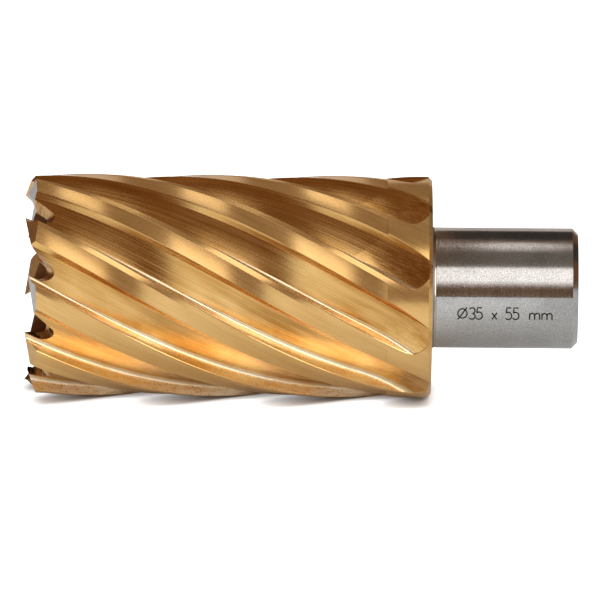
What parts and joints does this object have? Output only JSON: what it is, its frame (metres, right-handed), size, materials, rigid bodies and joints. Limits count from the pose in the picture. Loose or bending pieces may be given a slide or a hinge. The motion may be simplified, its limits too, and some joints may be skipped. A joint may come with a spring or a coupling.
{
  "type": "annular cutter",
  "caption": "High-speed steel annular cutter for a magnetic drill, with helical flutes, a gold nitride coat and a ground shank with clamping flats.",
  "frame": {"origin": "on the axis, in the plane of the tooth tips, which the cutter stands on", "axes": "+Z along the axis from the teeth towards the shank; the first tooth's cutting edge is close to -Y at the teeth; the two clamping flats face 60 and 150 degrees anticlockwise from +X"},
  "size_m": [0.035, 0.035, 0.0874],
  "materials": {
    "cutter_steel": "gold nitride coat on the ground fluted body, bare ground steel on the shank"
  },
  "bodies": {
    "root": {"annular_cutter": "cutter_steel"}
  },
  "joints": []
}
